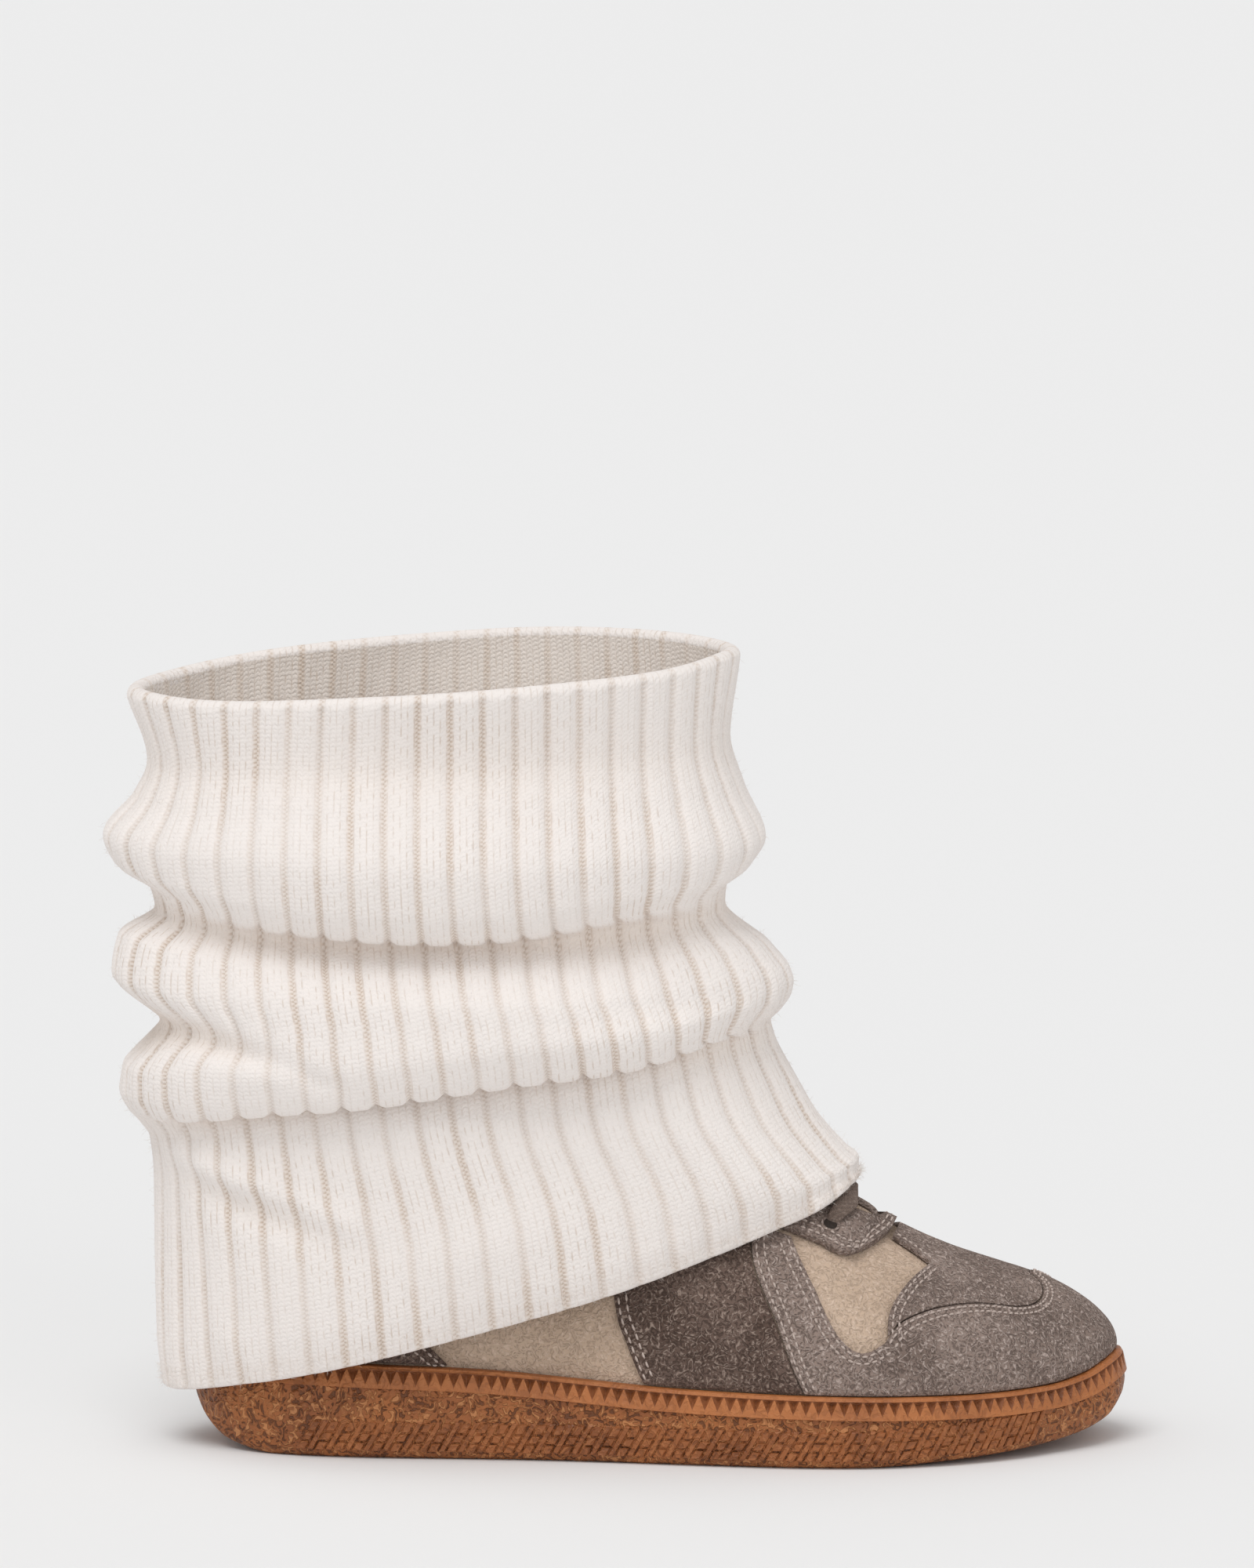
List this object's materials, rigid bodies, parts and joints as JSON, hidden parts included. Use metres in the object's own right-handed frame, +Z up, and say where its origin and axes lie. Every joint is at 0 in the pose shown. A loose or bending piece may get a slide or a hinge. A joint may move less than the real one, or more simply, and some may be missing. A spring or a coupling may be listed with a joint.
{
  "type": "sweater boot",
  "caption": "Low suede trainer on a rubber cup sole with a toothed foxing band, worn under a tall slouched rib-knit shaft; right foot",
  "frame": {"origin": "on the ground under the middle of the heel's seat, on the sole's middle line", "axes": "+X towards the toe, +Y towards the inner side of the foot, +Z up; a right boot"},
  "size_m": [0.2935, 0.1141, 0.2283],
  "materials": {
    "gum rubber": "matt crepe-textured gum rubber",
    "insole cloth": "plain woven lining cloth",
    "sand suede": "short-napped suede",
    "taupe suede": "short-napped suede with stitched edges",
    "flat lace": "flat woven lace",
    "cream rib knit": "soft brushed wide-rib knit"
  },
  "bodies": {
    "root": {"outsole": "gum rubber", "insole": "insole cloth", "upper": "sand suede", "tongue": "sand suede", "toe_panel": "taupe suede", "vamp_panel": "taupe suede", "eyestay": "taupe suede", "quarter_outer": "taupe suede", "quarter_inner": "taupe suede", "heel_counter": "taupe suede", "lace_bar_1": "flat lace", "lace_bar_2": "flat lace", "lace_bar_3": "flat lace", "lace_bar_4": "flat lace", "knit_shaft": "cream rib knit"}
  },
  "joints": []
}
